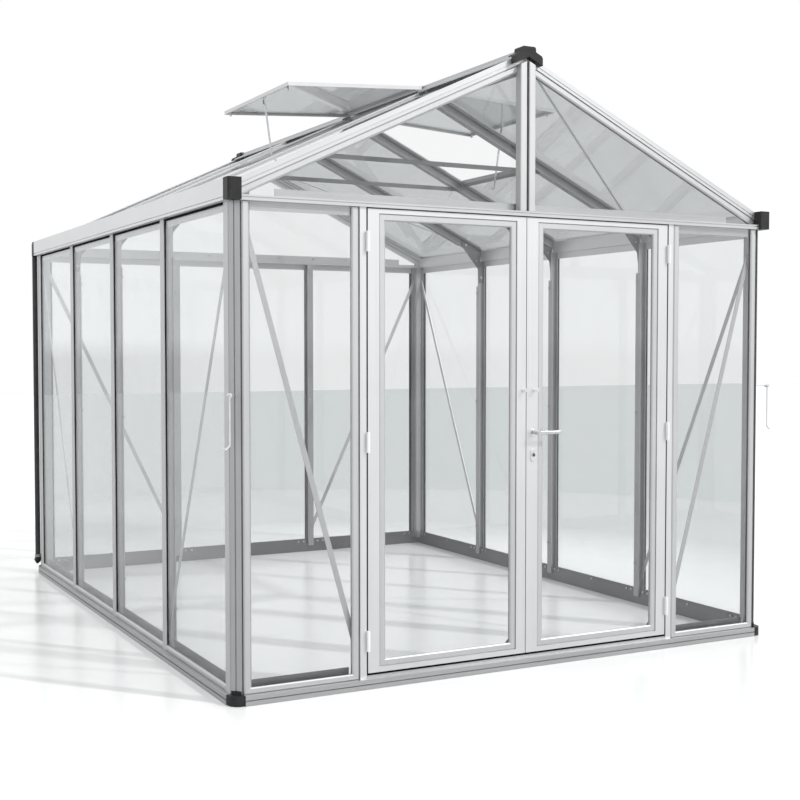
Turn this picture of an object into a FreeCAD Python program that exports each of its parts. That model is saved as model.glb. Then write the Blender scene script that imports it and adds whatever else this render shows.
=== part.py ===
import FreeCAD, Part
import math
import os

# Walk-in greenhouse: aluminium bars, glass, double doors, two ridge vents.
# Millimetres.  +X right along the front, +Y towards the rear, +Z up.
# Origin: middle of the footprint, on the ground.

# ---- overall size -------------------------------------------------------
WIDTH = 2440.0
LENGTH = 3080.0
WALL_TOP = 1746.0
ROOF_SLOPE = math.atan(0.4685)
ROOF_EAVE_Z = 1822.0

# ---- layers of a wall, measured inwards from the outer rail plane --------
FACE = 16.0
CAP_THICK = 4.5
GLASS_OUT = 24.0
GLASS = 4.0
GLASS_IN = GLASS_OUT + GLASS
SEAT = 3.0
BAR_DEPTH = 62.0

# ---- rails, posts and bars ----------------------------------------------
FOOT = 54.0
RAIL_H = 36.0
NECK_H = 13.0
RAIL_DEPTH = 53.0
RAIL_FLANGE_TOP = 78.0
POST_FLANGE = 86.0
POST_BOX = 72.0
PANE_EDGE = 58.0
PANE_BOTTOM = 42.0
PANE_TOP = 1740.0
SIDE_BAY = 739.0
CORNER_PITCH = 62.0
CORNER_STEP = 46.0
BAR_WEB = 3.0
BAR_FLANGE = 18.0
BAR_SEAT = 20.0
SIDE_FLANGE_TOP = 1600.0
SEAT_DROP = 32.0
CAP_HALF = 22.0
CAP_BOTTOM = RAIL_H + 0.5
CAP_TOP = WALL_TOP - 0.5
CORNER_CAP = (54.0, 98.0)
BEAD_W = 27.0
BEAD_BEVEL = 6.0
FOOT_BEAD_H = 22.0
BRACE_TOP = 1660.0
BRACE_FOOT = 120.0
BRACE_V = 36.0
BRACE_THICK = 3.0

# ---- front opening, measured from the middle of the front ----------------
DOOR_POST_IN = 691.0
DOOR_POST_OUT = 717.0
DOOR_POST_FLANGE = 746.0
LEAF_OUT = 685.0
LEFT_LEAF_IN = 4.0
RIGHT_LEAF_IN = 1.0
LEAF_BOTTOM = 55.0
LEAF_TOP = 1742.0
LEAF_THICK = 32.0
LEAF_WALL = 2.5
STILE_W = 46.0
LEFT_MEETING_W = 42.0
RIGHT_MEETING_W = 53.0
TOP_RAIL_W = 16.0
BOTTOM_RAIL_W = 19.0
LEAF_BEAD_W = 26.0
SILL_TOP = 47.0
HINGE_AXIS_V = 7.0
HINGE_AXIS_W = (LEAF_OUT + DOOR_POST_IN) / 2
HINGE_HEIGHTS = (174.0, 899.0, 1624.0)
HINGE_LENGTH = 74.0
KNUCKLE_R = 6.5
HINGE_PIN_R = 3.0

# ---- lock, lever and pegs -------------------------------------------------
LOCK_U = 30.0
LEVER_Z = 914.0
LEVER_REACH = 98.0
LEVER_STAND = 48.0
LEVER_HALF = 7.0
CYLINDER_Z = 826.0
CYLINDER_R = 9.0
PLUG_R = 6.5
LATCH_Z = 868.0
PEG_Z = 1078.0
LEFT_PEG_U = -15.0
RIGHT_PEG_U = 35.0
SHOOT_U = 24.0
SHOOT_V = 38.0
SHOOT_R = 4.9
HOOK_Z = 1079.0
HOOK_WIRE_R = 3.0
HOOK_LENGTH = 172.0

# ---- eaves, gable and ridge ------------------------------------------------
GUTTER_IN = 46.0
GUTTER_OUT = -4.0
GUTTER_TOP = 1822.0
GUTTER_SHEET = 3.0
GUTTER_CAP_L = 42.0
GUTTER_CAP_OUT = -5.0
EAVES_SEAL_H = 8.0
GUTTER_LIP = 9.0
GUTTER_GROOVE = 3.0
GUTTER_FLOOR = 16.0
HEADER_FACE = 8.0
HEADER_DEPTH = 56.0
HEADER_TOP = 1765.0
HEADER_FLANGE_TOP = 1796.0
GABLE_FACE = 36.0
RAFTER_DEPTH = 28.0
RAFTER_H = 30.0
GABLE_GLASS_OUT = 46.0
GABLE_FLANGE_DEPTH = 58.0
GABLE_BEAD_DEPTH = 56.0
GABLE_POST_HALF = 32.0
GABLE_COVER_HALF = 34.0
GABLE_COVER_FACE = 12.0
RIDGE_CAP_FACE = 8.0
STEM_HALF = 20.0
STEM_BOTTOM = 2300.0
STEM_START = 54.0
RIDGE_TOP = 2383.0
CROWN_HALF = 18.0
RIDGE_WING = 58.0
WING_RISE = 8.5

# ---- roof bars, vents and stays ---------------------------------------------
ROOF_GLASS_TOP = 8.0
ROOF_GLASS_IN = ROOF_GLASS_TOP + GLASS
ROOF_BAR_DEPTH = 52.0
KNEE_REACH = 190.0
KNEE_THICK = 4.0
VENT_BAY = (-SIDE_BAY, 0.0)
VENT_AXIS_X = 26.0
VENT_AXIS_Z = 2380.0
VENT_LENGTH = 640.0
VENT_REST = math.radians(3.7)
VENT_Y = (VENT_BAY[0] - 8, VENT_BAY[1] + 8)
VENT_SKIN = (-6.0, -2.0)
VENT_EDGE = (-17.5, -6.0)
SILL_OUT = 598.0
SILL_IN = 622.0
STAY_TILT = math.radians(8.0)
STAY_LENGTH = 305.0
STAY_PIVOT = (-592.0, -24.0)
STAY_HOLES = (90.0, 145.0, 200.0, 255.0)
TIE_INSET = 673.0
TIE_H = 20.0

# ---- rainwater pipe ------------------------------------------------------------
PIPE_INSET = 14.0
PIPE_OFFSET = 20.0
PIPE_R = 14.0
PIPE_WALL = 2.0
PIPE_FOOT = 62.5
SHOE_TOP = 77.0
CLIP_Z = (78.5, 93.0)

HALF_W = WIDTH / 2
HALF_L = LENGTH / 2
COS = math.cos(ROOF_SLOPE)
SIN = math.sin(ROOF_SLOPE)
TAN = math.tan(ROOF_SLOPE)
SIDE_BARS = (-SIDE_BAY, 0.0, SIDE_BAY)
REAR_BAR = HALF_W - CORNER_PITCH - SIDE_BAY
REAR_BARS = (-REAR_BAR, REAR_BAR)
PIPE_X = -HALF_W + PIPE_INSET
PIPE_Y = HALF_L + PIPE_OFFSET
WALLS = ("front", "right", "rear", "left")
GABLES = ("front", "rear")
BARRED = (("left", SIDE_BARS), ("right", SIDE_BARS), ("rear", REAR_BARS))
V = FreeCAD.Vector
ORIGIN = V(0, 0, 0)
UP = V(0, 0, 1)
OUT_DIR = "parts"


# ---- small tools ------------------------------------------------------------
def box(x0, x1, y0, y1, z0, z1):
    return Part.makeBox(x1 - x0, y1 - y0, z1 - z0, V(x0, y0, z0))


def rod(start, end, radius):
    direction = end - start
    return Part.makeCylinder(radius, direction.Length, start, direction)


def tube(start, end, radius, hole):
    return rod(start, end, radius).cut(rod(start, end, hole))


def face_of(points):
    return Part.Face(Part.makePolygon(points + [points[0]]))


def section_along_x(outline, x0, x1, holes=()):
    """Extrude a (y, z) outline along X."""
    face = face_of([V(x0, y, z) for y, z in outline])
    for hole in holes:
        face = face.cut(face_of([V(x0, y, z) for y, z in hole]))
    return face.extrude(V(x1 - x0, 0, 0))


def section_along_y(outline, y0, y1, holes=()):
    """Extrude an (x, z) outline along Y."""
    face = face_of([V(x, y0, z) for x, z in outline])
    for hole in holes:
        face = face.cut(face_of([V(x, y0, z) for x, z in hole]))
    return face.extrude(V(0, y1 - y0, 0))


def section_up(outline, z0, z1, holes=()):
    """Extrude an (x, y) outline along Z."""
    face = face_of([V(x, y, z0) for x, y in outline])
    for hole in holes:
        face = face.cut(face_of([V(x, y, z0) for x, y in hole]))
    return face.extrude(V(0, 0, z1 - z0))


def rect(a0, a1, b0, b1):
    return [(a0, b0), (a1, b0), (a1, b1), (a0, b1)]


def joined(shapes):
    """Fuse touching shapes into one clean body."""
    body = shapes[0]
    if len(shapes) > 1:
        body = body.fuse(shapes[1:])
    return body.removeSplitter()


def mirrored(shape):
    """The same shape on the other side of the ridge line."""
    return shape.mirror(ORIGIN, V(1, 0, 0))


def both_sides(shape):
    return [shape, mirrored(shape)]


def on_wall(shape, wall):
    """Carry a shape drawn for a wall (x along it, y inwards) to its place."""
    turn = {"front": 0, "right": 90, "rear": 180, "left": 270}[wall]
    depth = HALF_L if wall in ("front", "rear") else HALF_W
    placed = shape.copy()
    placed.translate(V(0, -depth, 0))
    placed.rotate(ORIGIN, UP, turn)
    return placed


def half_of(wall):
    return HALF_W if wall in ("front", "rear") else HALF_L


def on_slope(shape):
    """Carry a shape drawn flat (x up the slope from the eave, z out) to the left slope."""
    placed = shape.copy()
    placed.rotate(ORIGIN, V(0, 1, 0), -math.degrees(ROOF_SLOPE))
    placed.translate(V(-HALF_W + GUTTER_IN, 0, ROOF_EAVE_Z))
    return placed


def slope_z(inset, depth=0.0):
    """Height of the roof line at a distance from the side plane, less a depth square to it."""
    return ROOF_EAVE_Z + TAN * (inset - GUTTER_IN) - depth / COS


def up_slope(inset, depth=0.0):
    """Distance up the slope of the point at this inset and depth."""
    return (inset - GUTTER_IN - depth * SIN) / COS


def quad_loft(rings):
    """Solid through matching outlines, each given as a list of points."""
    wires = [Part.makePolygon(ring + [ring[0]]) for ring in rings]
    return Part.makeLoft(wires, True, True)


def between(a, b, share):
    return (a[0] + (b[0] - a[0]) * share, a[1] + (b[1] - a[1]) * share)


def bead_strip(outer, inner, v_front, v_back, bevel=BEAD_BEVEL):
    """A glazing bead with a rounded-off front, from two (u, z) edges in a wall."""
    width = math.dist(outer[0], inner[0])
    share = bevel / width
    near = [between(o, i, share) for o, i in zip(outer, inner)]
    far = [between(i, o, share) for o, i in zip(outer, inner)]
    full = [outer[0], outer[1], inner[1], inner[0]]
    slim = [near[0], near[1], far[1], far[0]]
    middle = v_front + min(bevel, (v_back - v_front) * 0.45)
    return quad_loft([
        [V(u, v_back, z) for u, z in full],
        [V(u, middle, z) for u, z in full],
        [V(u, v_front, z) for u, z in slim],
    ])


def ring_quads(outer, inner):
    """The four mitred members between two (u0, u1, z0, z1) rectangles."""
    o = rect(outer[0], outer[1], outer[2], outer[3])
    i = rect(inner[0], inner[1], inner[2], inner[3])
    return [((o[k], o[(k + 1) % 4]), (i[k], i[(k + 1) % 4])) for k in range(4)]


def member(outer, inner, v0, v1):
    """A flat mitred member as deep as v0 to v1."""
    face = face_of([V(u, v0, z) for u, z in (outer[0], outer[1], inner[1], inner[0])])
    return face.extrude(V(0, v1 - v0, 0))


def inset_rect(area, step):
    return (area[0] + step, area[1] - step, area[2] + step, area[3] - step)


def write(node, shapes):
    solids = []
    for shape in shapes:
        solids.extend(shape.Solids)
    for solid in solids:
        if not solid.isValid() or solid.Volume <= 0:
            raise ValueError("bad solid in " + node)
    body = solids[0] if len(solids) == 1 else Part.makeCompound(solids)
    body.exportStep(os.path.join(OUT_DIR, node + ".step"))


# ---- base --------------------------------------------------------------------
def wall_spans(wall):
    """The clear stretches between post and bar flanges, along a wall."""
    half = half_of(wall)
    edge = half - POST_FLANGE - 1
    if wall == "front":
        inner = DOOR_POST_FLANGE + 1
        return [(-edge, -inner), (inner, edge)]
    bars = SIDE_BARS if wall in ("left", "right") else REAR_BARS
    reach = BAR_SEAT + 1
    starts = [-edge] + [b + reach for b in bars]
    ends = [b - reach for b in bars] + [edge]
    return list(zip(starts, ends))


def base_rail(wall):
    half = half_of(wall) - FOOT
    outline = [(0, 0), (RAIL_DEPTH, 0), (RAIL_DEPTH, RAIL_H), (0, RAIL_H),
               (0, 20), (9, 20), (9, 16), (0, 16)]
    pieces = [section_along_x(outline, -half, half, [rect(12, 50, 3, 33)])]
    for start, end in wall_spans(wall):
        pieces.append(box(start, end, GLASS_IN, GLASS_IN + SEAT, RAIL_H, 58))
        pieces.append(box(start, end, 50, RAIL_DEPTH, RAIL_H, RAIL_FLANGE_TOP))
    return on_wall(joined(pieces), wall)


def corner_foot():
    """Black corner block between two rail ends, with a neck that enters the post."""
    face = 4.0
    radius = 40.0
    end = FOOT - 0.5
    bend = face + radius * (1 - math.sqrt(0.5))
    arc = Part.Arc(V(face, face + radius, 0), V(bend, bend, 0), V(face + radius, face, 0)).toShape()
    lines = Part.makePolygon([V(face + radius, face, 0), V(end, face, 0), V(end, end, 0),
                              V(face, end, 0), V(face, face + radius, 0)])
    block = Part.Face(Part.Wire([arc] + lines.Edges)).extrude(V(0, 0, RAIL_H))
    neck_line = [(17, 43), (43, 17), (47, 21), (47, 47), (21, 47)]
    neck = section_up(neck_line, RAIL_H, RAIL_H + NECK_H)
    return joined([block, neck])


def at_corners(shape):
    """One copy of a corner shape, drawn at (0, 0), in each corner of the frame."""
    copies = []
    for k, (sx, sy) in enumerate(((-1, -1), (1, -1), (1, 1), (-1, 1))):
        copy = shape.copy()
        copy.rotate(ORIGIN, UP, 90 * k)
        copy.translate(V(sx * HALF_W, sy * HALF_L, 0))
        copies.append(copy)
    return copies


# ---- posts and bars -------------------------------------------------------------
def corner_post():
    """Hollow corner section with a slanted, grooved outer face."""
    depth = GLASS_IN + 6
    step = CORNER_STEP
    groove = [(29, 33), (31, 36.5), (36.5, 31), (33, 29)]
    outline = [(FACE, step)] + groove + [
        (step, FACE), (step, GLASS_IN), (POST_FLANGE, GLASS_IN), (POST_FLANGE, depth),
        (POST_BOX, depth), (POST_BOX, POST_BOX), (depth, POST_BOX),
        (depth, POST_FLANGE), (GLASS_IN, POST_FLANGE), (GLASS_IN, step)]
    cavity = [(38, 42), (42, 38), (69, 38), (69, 69), (38, 69)]
    post = section_up(outline, RAIL_H, WALL_TOP, [cavity])
    slot = section_up([(15, 41), (41, 15), (49, 19), (49, 49), (19, 49)], RAIL_H, RAIL_H + NECK_H + 1)
    return post.cut(slot)


def door_post():
    """Right-hand door post in the front wall, with a flange behind the side pane."""
    box_line = rect(DOOR_POST_IN, DOOR_POST_OUT, FACE, 60)
    cavity = rect(DOOR_POST_IN + 2.5, DOOR_POST_OUT - 2.5, FACE + 2.5, 57.5)
    tall = section_up(box_line, RAIL_H, WALL_TOP, [cavity])
    seat = box(DOOR_POST_OUT, DOOR_POST_FLANGE, GLASS_IN, GLASS_IN + SEAT, RAIL_H, WALL_TOP)
    inner = box(DOOR_POST_OUT, DOOR_POST_OUT + 18, 57, 60, RAIL_H, WALL_TOP)
    return joined([tall, seat, inner])


def wall_bar(u, flange_top):
    """Intermediate bar: web through the glass line, seats and an inner flange."""
    web = box(u - BAR_WEB, u + BAR_WEB, FACE + CAP_THICK, BAR_DEPTH, RAIL_H, WALL_TOP)
    seat = box(u - BAR_SEAT, u + BAR_SEAT, GLASS_IN, GLASS_IN + SEAT, RAIL_H, WALL_TOP)
    flange = box(u - BAR_FLANGE, u + BAR_FLANGE, BAR_DEPTH - 4, BAR_DEPTH, RAIL_H, flange_top)
    return joined([web, seat, flange])


def wall_cap(u, half_width, z0, z1):
    """Flat outer cap over a bar, with eased edges."""
    outline = [(u - half_width, FACE + CAP_THICK), (u - half_width, FACE + 2),
               (u - half_width + 2, FACE), (u + half_width - 2, FACE),
               (u + half_width, FACE + 2), (u + half_width, FACE + CAP_THICK)]
    return section_up(outline, z0, z1)


def wall_gasket(u, z0, z1):
    """Two rubber strips between a cap and the glass."""
    v0 = FACE + CAP_THICK
    return [box(u - CAP_HALF + 1, u - 6, v0, GLASS_OUT, z0, z1),
            box(u + 6, u + CAP_HALF - 1, v0, GLASS_OUT, z0, z1)]


def corner_caps(wall):
    """Flat caps that close the glass edge against the corner posts."""
    half = half_of(wall)
    centre = half - sum(CORNER_CAP) / 2
    return [on_wall(wall_cap(side * centre, CAP_HALF, CAP_BOTTOM, CAP_TOP), wall) for side in (-1, 1)]


def corner_gaskets(wall):
    half = half_of(wall)
    v0 = FACE + CAP_THICK
    strips = []
    for side in (-1, 1):
        near = side * (half - CORNER_CAP[0] - 5)
        far = side * (half - CORNER_CAP[1] + 1)
        lo, hi = sorted((near, far))
        strips.append(on_wall(box(lo, hi, v0, GLASS_OUT, CAP_BOTTOM, CAP_TOP), wall))
    return strips


def cap_gaps(wall):
    """The stretches between neighbouring caps, along a wall."""
    half = half_of(wall)
    bars = SIDE_BARS if wall in ("left", "right") else REAR_BARS
    starts = [-half + CORNER_CAP[1] + 0.5] + [b + CAP_HALF + 0.5 for b in bars]
    ends = [b - CAP_HALF - 0.5 for b in bars] + [half - CORNER_CAP[1] - 0.5]
    return list(zip(starts, ends))


def bottom_beads(wall):
    """Rounded beads along the foot of each pane between the caps."""
    beads = []
    for start, end in cap_gaps(wall):
        outer = ((start, RAIL_H + 0.2), (end, RAIL_H + 0.2))
        inner = ((start, RAIL_H + FOOT_BEAD_H), (end, RAIL_H + FOOT_BEAD_H))
        beads.append(on_wall(bead_strip(outer, inner, FACE, GLASS_OUT), wall))
    return beads


def pane_beads():
    """Beads down both edges and along the foot of the two narrow front panes."""
    u_in = DOOR_POST_OUT + 4
    u_out = HALF_W - CORNER_CAP[0]
    foot = RAIL_H + 0.2
    top = WALL_TOP - 2
    rise = foot + FOOT_BEAD_H
    left_edge = bead_strip(((u_in, foot), (u_in, top)),
                           ((u_in + BEAD_W, rise), (u_in + BEAD_W, top)), FACE, GLASS_OUT)
    right_edge = bead_strip(((u_out, foot), (u_out, top)),
                            ((u_out - BEAD_W, rise), (u_out - BEAD_W, top)), FACE, GLASS_OUT)
    foot_bead = bead_strip(((u_in, foot), (u_out, foot)),
                           ((u_in + BEAD_W, rise), (u_out - BEAD_W, rise)), FACE, GLASS_OUT)
    beads = []
    for bead in (left_edge, right_edge, foot_bead):
        beads.extend(on_wall(side, "front") for side in both_sides(bead))
    return beads


def wall_glass(wall):
    """Flat panes of one wall."""
    if wall == "front":
        pane = box(DOOR_POST_OUT + 6, HALF_W - PANE_EDGE, GLASS_OUT, GLASS_IN, PANE_BOTTOM, PANE_TOP)
        return [on_wall(side, wall) for side in both_sides(pane)]
    half = half_of(wall)
    bars = SIDE_BARS if wall in ("left", "right") else REAR_BARS
    starts = [-half + PANE_EDGE] + [b + BAR_WEB + 2 for b in bars]
    ends = [b - BAR_WEB - 2 for b in bars] + [half - PANE_EDGE]
    return [on_wall(box(a, b, GLASS_OUT, GLASS_IN, PANE_BOTTOM, PANE_TOP), wall)
            for a, b in zip(starts, ends)]


def eaves_seals(wall):
    """Black strips between the caps that close the top of each side pane against the gutter."""
    return [on_wall(box(start, end, FACE + CAP_THICK, GLASS_OUT - 0.1, WALL_TOP - EAVES_SEAL_H,
                        WALL_TOP - 0.1), wall)
            for start, end in cap_gaps(wall)]


def door_seals():
    """Black strips in the gaps beside the hinges and under the leaves."""
    v0 = FACE + 2
    v1 = FACE + 6
    stop = DOOR_POST_IN - 1.2
    seals = [box(-stop, stop, v0, v1, SILL_TOP + 0.1, LEAF_BOTTOM - 0.3)]
    half = HINGE_LENGTH / 2 + 1
    starts = [LEAF_BOTTOM] + [z + half for z in HINGE_HEIGHTS]
    ends = [z - half for z in HINGE_HEIGHTS] + [LEAF_TOP]
    for start, end in zip(starts, ends):
        strip = box(LEAF_OUT + 1.2, DOOR_POST_IN - 0.1, v0, v1, start, end)
        seals += both_sides(strip)
    return [on_wall(seal, "front") for seal in seals]


# ---- eaves ------------------------------------------------------------------------
def gutter(wall):
    """Open gutter that is also the eave beam of a side wall."""
    half = HALF_L - GUTTER_CAP_L - 0.5
    out = GUTTER_OUT
    floor = WALL_TOP + GUTTER_FLOOR
    lip = WALL_TOP + GUTTER_LIP
    outline = [(out, WALL_TOP), (out, lip), (out + 4, lip), (out + 4, lip + GUTTER_GROOVE),
               (out, lip + GUTTER_GROOVE), (out, GUTTER_TOP), (out + GUTTER_SHEET, GUTTER_TOP),
               (out + GUTTER_SHEET, floor), (GUTTER_IN - 4, floor), (GUTTER_IN - 4, GUTTER_TOP - 17),
               (GUTTER_IN, GUTTER_TOP - 17), (GUTTER_IN, WALL_TOP)]
    hollow = rect(out + 8, GUTTER_IN - GUTTER_SHEET, WALL_TOP + GUTTER_SHEET, floor - GUTTER_SHEET)
    pieces = [section_along_x(outline, -half, half, [hollow])]
    for start, end in wall_spans(wall):
        pieces.append(box(start, end, GLASS_IN, GLASS_IN + SEAT, WALL_TOP - SEAT_DROP, WALL_TOP))
    return on_wall(joined(pieces), wall)


def gutter_cap():
    """Black end cap that closes a gutter and wraps the corner."""
    cap = box(GUTTER_OUT, GUTTER_IN, GUTTER_CAP_OUT, GUTTER_CAP_L, WALL_TOP + 1, GUTTER_TOP)
    edges = [e for e in cap.Edges if e.BoundBox.ZLength > 60 and e.BoundBox.XMax < 0
             and e.BoundBox.YMax < 0]
    return cap.makeFillet(8.0, edges)


def gutter_caps():
    front_left = gutter_cap()
    front_left.translate(V(-HALF_W, -HALF_L, 0))
    rear_left = front_left.mirror(ORIGIN, V(0, 1, 0))
    return [front_left, mirrored(front_left), rear_left, mirrored(rear_left)]


def header(wall):
    """Front or rear eave beam, hollow, with an outer groove and inner flanges."""
    end = HALF_W - GUTTER_IN - 0.5
    outline = [(HEADER_FACE, WALL_TOP), (HEADER_DEPTH, WALL_TOP), (HEADER_DEPTH, HEADER_TOP),
               (HEADER_FACE, HEADER_TOP), (HEADER_FACE, 1759), (HEADER_FACE + 4, 1759),
               (HEADER_FACE + 4, 1756), (HEADER_FACE, 1756)]
    cavity = rect(HEADER_FACE + 7, HEADER_DEPTH - 3, WALL_TOP + 3, HEADER_TOP - 3)
    pieces = [section_along_x(outline, -end, end, [cavity])]
    for start, stop in wall_spans(wall):
        pieces.append(box(start, stop, GLASS_IN, GLASS_IN + SEAT, WALL_TOP - SEAT_DROP, WALL_TOP))
    reach = HALF_W - KNEE_REACH
    pieces.append(box(-reach, reach, HEADER_DEPTH - 3, HEADER_DEPTH, HEADER_TOP, HEADER_FLANGE_TOP))
    if wall == "front":
        stop = DOOR_POST_IN - 1
        pieces.append(box(-stop, stop, 51, 54, 1722, WALL_TOP))
    beam = joined(pieces)
    if wall == "front":
        bolt = rod(V(-SHOOT_U, SHOOT_V, WALL_TOP - 1), V(-SHOOT_U, SHOOT_V, HEADER_TOP - 2), SHOOT_R + 0.1)
        beam = beam.cut(bolt)
    return on_wall(beam, wall)


def door_sill():
    """Threshold bar between the door posts."""
    stop = DOOR_POST_IN - 1
    back = FACE + LEAF_THICK
    wall = 2.5
    sill = section_along_x(rect(FACE, back, RAIL_H, SILL_TOP), -stop, stop,
                           [rect(FACE + wall, back - wall, RAIL_H + wall, SILL_TOP - wall)])
    hole = rod(V(-SHOOT_U, SHOOT_V, SILL_TOP - wall - 2), V(-SHOOT_U, SHOOT_V, SILL_TOP + 1), SHOOT_R + 0.1)
    return on_wall(sill.cut(hole), "front")


# ---- gables -------------------------------------------------------------------------
def gable_rafter(wall):
    """Left rafter of a gable: outer box with a step, and a flange behind the glass."""
    v0 = GABLE_FACE
    v1 = GABLE_FACE + RAFTER_DEPTH
    tip = HALF_W - 0.5
    low = GUTTER_IN + 0.5
    body_line = [(low, slope_z(low)), (tip, slope_z(tip)), (tip, slope_z(tip, RAFTER_H)),
                 (low, slope_z(low, RAFTER_H))]
    groove = [(low - 9, slope_z(low - 9, 17)), (tip + 9, slope_z(tip + 9, 17)),
              (tip + 9, slope_z(tip + 9, 20)), (low - 9, slope_z(low - 9, 20))]
    hollow = [(low - 9, slope_z(low - 9, 3)), (tip + 9, slope_z(tip + 9, 3)),
              (tip + 9, slope_z(tip + 9, 27)), (low - 9, slope_z(low - 9, 27))]
    flange_low = GUTTER_IN + (HEADER_TOP + 0.5 - ROOF_EAVE_Z + GABLE_FLANGE_DEPTH / COS) / TAN
    flange_line = [(low, slope_z(low, RAFTER_H)), (tip, slope_z(tip, RAFTER_H)),
                   (tip, slope_z(tip, GABLE_FLANGE_DEPTH)), (flange_low, HEADER_TOP + 0.5),
                   (low, HEADER_TOP + 0.5)]

    def prism(line, a, b):
        return section_along_y([(x - HALF_W, z) for x, z in line], a, b)

    body = prism(body_line, v0, v1)
    body = body.cut(prism(groove, v0, v0 + 4)).cut(prism(hollow, v0 + 7, v1 - 3))
    flange = prism(flange_line, GABLE_GLASS_OUT + GLASS, GABLE_GLASS_OUT + GLASS + SEAT)
    shelf_line = [(low, slope_z(low, ROOF_GLASS_IN)), (tip, slope_z(tip, ROOF_GLASS_IN)),
                  (tip, slope_z(tip, ROOF_GLASS_IN + SEAT)),
                  (low, slope_z(low, ROOF_GLASS_IN + SEAT))]
    lip_line = [(low, slope_z(low)), (tip, slope_z(tip)), (tip, slope_z(tip, 4)),
                (low, slope_z(low, 4))]
    shelf = prism(shelf_line, v1, v1 + 16)
    lip = prism(lip_line, v1, v1 + 14)
    rafter = joined([body, flange, shelf, lip])
    stem = box(-STEM_HALF - 0.5, 1, STEM_START - 0.5, v1 + 30, STEM_BOTTOM - 40, RIDGE_TOP)
    post_gap = box(-GABLE_POST_HALF - 0.5, 1, GABLE_GLASS_OUT - 0.5, v1,
                   HEADER_TOP, slope_z(HALF_W, RAFTER_H))
    return on_wall(rafter.cut(stem).cut(post_gap), wall)


def gable_post(wall):
    """Upright in the middle of a gable; its web shows as a dark line between the covers."""
    top = STEM_BOTTOM - 1
    foot = HEADER_TOP + 0.5
    over = HEADER_FLANGE_TOP + 2
    glass_in = GABLE_GLASS_OUT + GLASS
    web = box(-4, 4, GABLE_GLASS_OUT, BAR_DEPTH, foot, top)
    seat = box(-30, 30, glass_in, glass_in + SEAT, foot, top)
    flange = box(-18, 18, 60, 63, over, top)
    post = joined([web, seat, flange])
    notch = box(-40, 40, glass_in, 70, foot - 50, over - 1)
    keep = box(-4, 4, GABLE_GLASS_OUT, glass_in + 2.5, foot, over + 1)
    return on_wall(joined([post.cut(notch), keep]), wall)


def gable_beads(wall):
    """Bead under the left rafter and the deep cover beside the gable post, mirrored to the right."""
    edge = HALF_W - 5
    side = HALF_W - GABLE_COVER_HALF
    start = GUTTER_IN + 8
    foot = HEADER_TOP + 1
    low_inset = GUTTER_IN + (foot - ROOF_EAVE_Z + GABLE_BEAD_DEPTH / COS) / TAN
    stop = side - 0.5

    def strip(outer, inner, v0, bevel):
        shift = [[(x - HALF_W, z) for x, z in line] for line in (outer, inner)]
        return bead_strip(shift[0], shift[1], v0, GABLE_GLASS_OUT, bevel)

    rafter_bead = strip(((start, slope_z(start, RAFTER_H + 0.3)), (stop, slope_z(stop, RAFTER_H + 0.3))),
                        ((low_inset, foot), (stop, slope_z(stop, GABLE_BEAD_DEPTH))),
                        GABLE_FACE + 2, BEAD_BEVEL)
    cover = strip(((edge, foot), (edge, slope_z(edge, RAFTER_H + 0.3))),
                  ((side, foot), (side, slope_z(side, RAFTER_H + 0.3))), GABLE_COVER_FACE, 2.5)
    beads = []
    for bead in (rafter_bead, cover):
        beads.extend(on_wall(half, wall) for half in both_sides(bead))
    return beads


def gable_glass(wall):
    """Two triangular panes."""
    edge = HALF_W - 6
    depth = RAFTER_H + 2.5
    foot = HEADER_TOP + 1.5
    low = GUTTER_IN + (foot - ROOF_EAVE_Z + depth / COS) / TAN
    outline = [(max(low, GUTTER_IN + 8), foot), (edge, foot), (edge, slope_z(edge, depth)),
               (GUTTER_IN + 8, slope_z(GUTTER_IN + 8, depth))]
    pane = section_along_y([(x - HALF_W, z) for x, z in outline], GABLE_GLASS_OUT, GABLE_GLASS_OUT + GLASS)
    return [on_wall(side, wall) for side in both_sides(pane)]


# ---- ridge ------------------------------------------------------------------------
def ridge_beam():
    """Ridge: hollow stem, raised crown, wings over the glass except in the vent bay."""
    y0 = -HALF_L + GABLE_FACE
    y1 = HALF_L - GABLE_FACE
    stem_line = rect(-STEM_HALF, STEM_HALF, STEM_BOTTOM, slope_z(HALF_W - STEM_HALF))
    stem_hole = rect(-STEM_HALF + 3, STEM_HALF - 3, STEM_BOTTOM + 3, slope_z(HALF_W - STEM_HALF) - 4)
    stem = section_along_y(stem_line, -HALF_L + STEM_START, HALF_L - STEM_START, [stem_hole])
    gap = 0.4
    rise = WING_RISE
    wing = RIDGE_WING
    crown = CROWN_HALF
    apex = slope_z(HALF_W) + gap
    edge = slope_z(HALF_W - wing)
    crown_line = [(-crown, RIDGE_TOP), (crown, RIDGE_TOP), (crown, slope_z(HALF_W - crown) + gap),
                  (0, apex), (-crown, slope_z(HALF_W - crown) + gap)]
    crown_bar = section_along_y(crown_line, y0, y1)
    plug_line = [(-crown, STEM_BOTTOM + 40), (crown, STEM_BOTTOM + 40), (crown, RIDGE_TOP - 2),
                 (-crown, RIDGE_TOP - 2)]
    plug = section_along_y(plug_line, -HALF_L + STEM_START, HALF_L - STEM_START,
                           [rect(-crown + 3, crown - 3, STEM_BOTTOM + 43, RIDGE_TOP - 14)])
    wing_line = [(crown, slope_z(HALF_W - crown) + rise), (wing, edge + rise), (wing, edge + gap),
                 (crown, slope_z(HALF_W - crown) + gap)]
    pieces = [stem, crown_bar, plug]
    for a, b in ((y0, VENT_BAY[0] - 12), (VENT_BAY[1] + 12, y1)):
        pieces.append(section_along_y(wing_line, a, b))
        pieces.append(section_along_y([(-x, z) for x, z in wing_line], a, b))
    return joined(pieces)


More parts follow.
